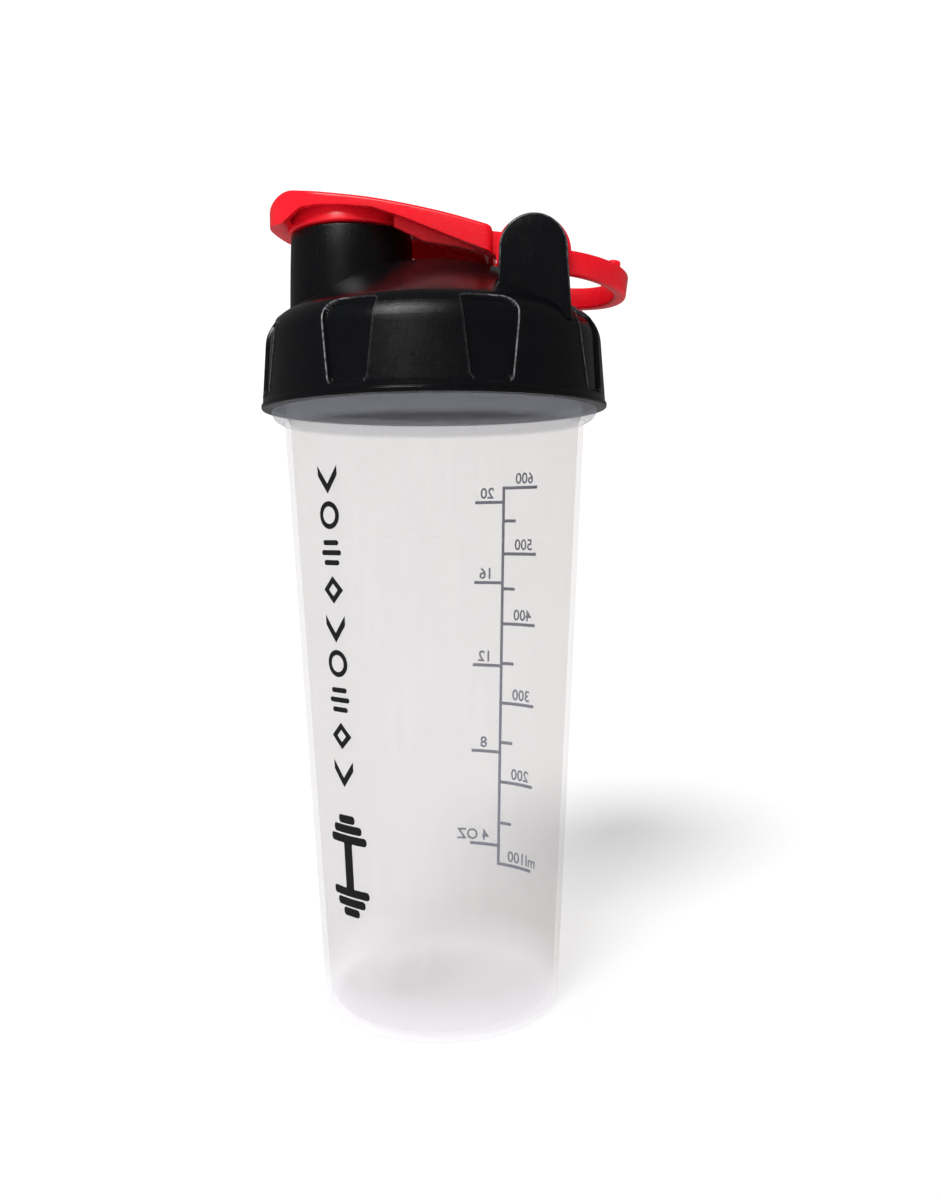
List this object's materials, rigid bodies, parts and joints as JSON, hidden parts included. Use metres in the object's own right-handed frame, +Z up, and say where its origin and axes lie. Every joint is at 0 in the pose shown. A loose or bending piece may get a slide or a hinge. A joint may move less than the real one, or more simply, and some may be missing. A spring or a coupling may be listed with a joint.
{
  "type": "protein shaker bottle",
  "caption": "Frosted tapered shaker bottle with a graduated cup, screw lid, drinking spout, flip cap and carry loop.",
  "frame": {"origin": "middle of the base, on the surface the bottle stands on", "axes": "+Z up along the cup's axis, -X towards the drinking spout, +X towards the hinge, Y along the hinge pin"},
  "size_m": [0.1033, 0.0972, 0.2283],
  "materials": {
    "cup_plastic": "frosted translucent polypropylene",
    "lid_plastic": "black polypropylene, glossy skirt with fine-grained grips",
    "seal_silicone": "milky silicone",
    "grid_plastic": "black polypropylene",
    "red_plastic": "bright red polypropylene",
    "pin_steel": "stainless steel"
  },
  "bodies": {
    "cup": {"cup": "cup_plastic"},
    "seal": {"lid_seal": "seal_silicone"},
    "lid": {"screw_lid": "lid_plastic", "hinge_pin": "pin_steel"},
    "grid": {"mixing_grid": "grid_plastic"},
    "cap": {"flip_cap": "red_plastic"},
    "loop": {"carry_loop": "red_plastic"}
  },
  "joints": [
    {"name": "lid_rise", "type": "slide", "parent": "cup", "child": "seal", "axis": [0, 0, 1], "range_m": [0, 0.0276]},
    {"name": "lid_turn", "type": "hinge", "parent": "seal", "child": "lid", "pos_m": [0, 0, 0.18], "axis": [0, 0, 1], "range_deg": [0, 1980]},
    {"name": "cap_flip", "type": "hinge", "parent": "lid", "child": "cap", "pos_m": [0.0281, 0, 0.2082], "axis": [0, 1, 0], "range_deg": [0, 105]},
    {"name": "loop_swing", "type": "hinge", "parent": "lid", "child": "loop", "pos_m": [0.0281, 0, 0.2082], "axis": [0, -1, 0], "range_deg": [-18, 30]},
    {"name": "grid_release", "type": "slide", "parent": "lid", "child": "grid", "axis": [0, 0, -1], "range_m": [0, 0.012]}
  ],
  "couplings": [
    {"joint": "lid_rise", "follows": "lid_turn", "m_per_rad": 0.00079577}
  ]
}
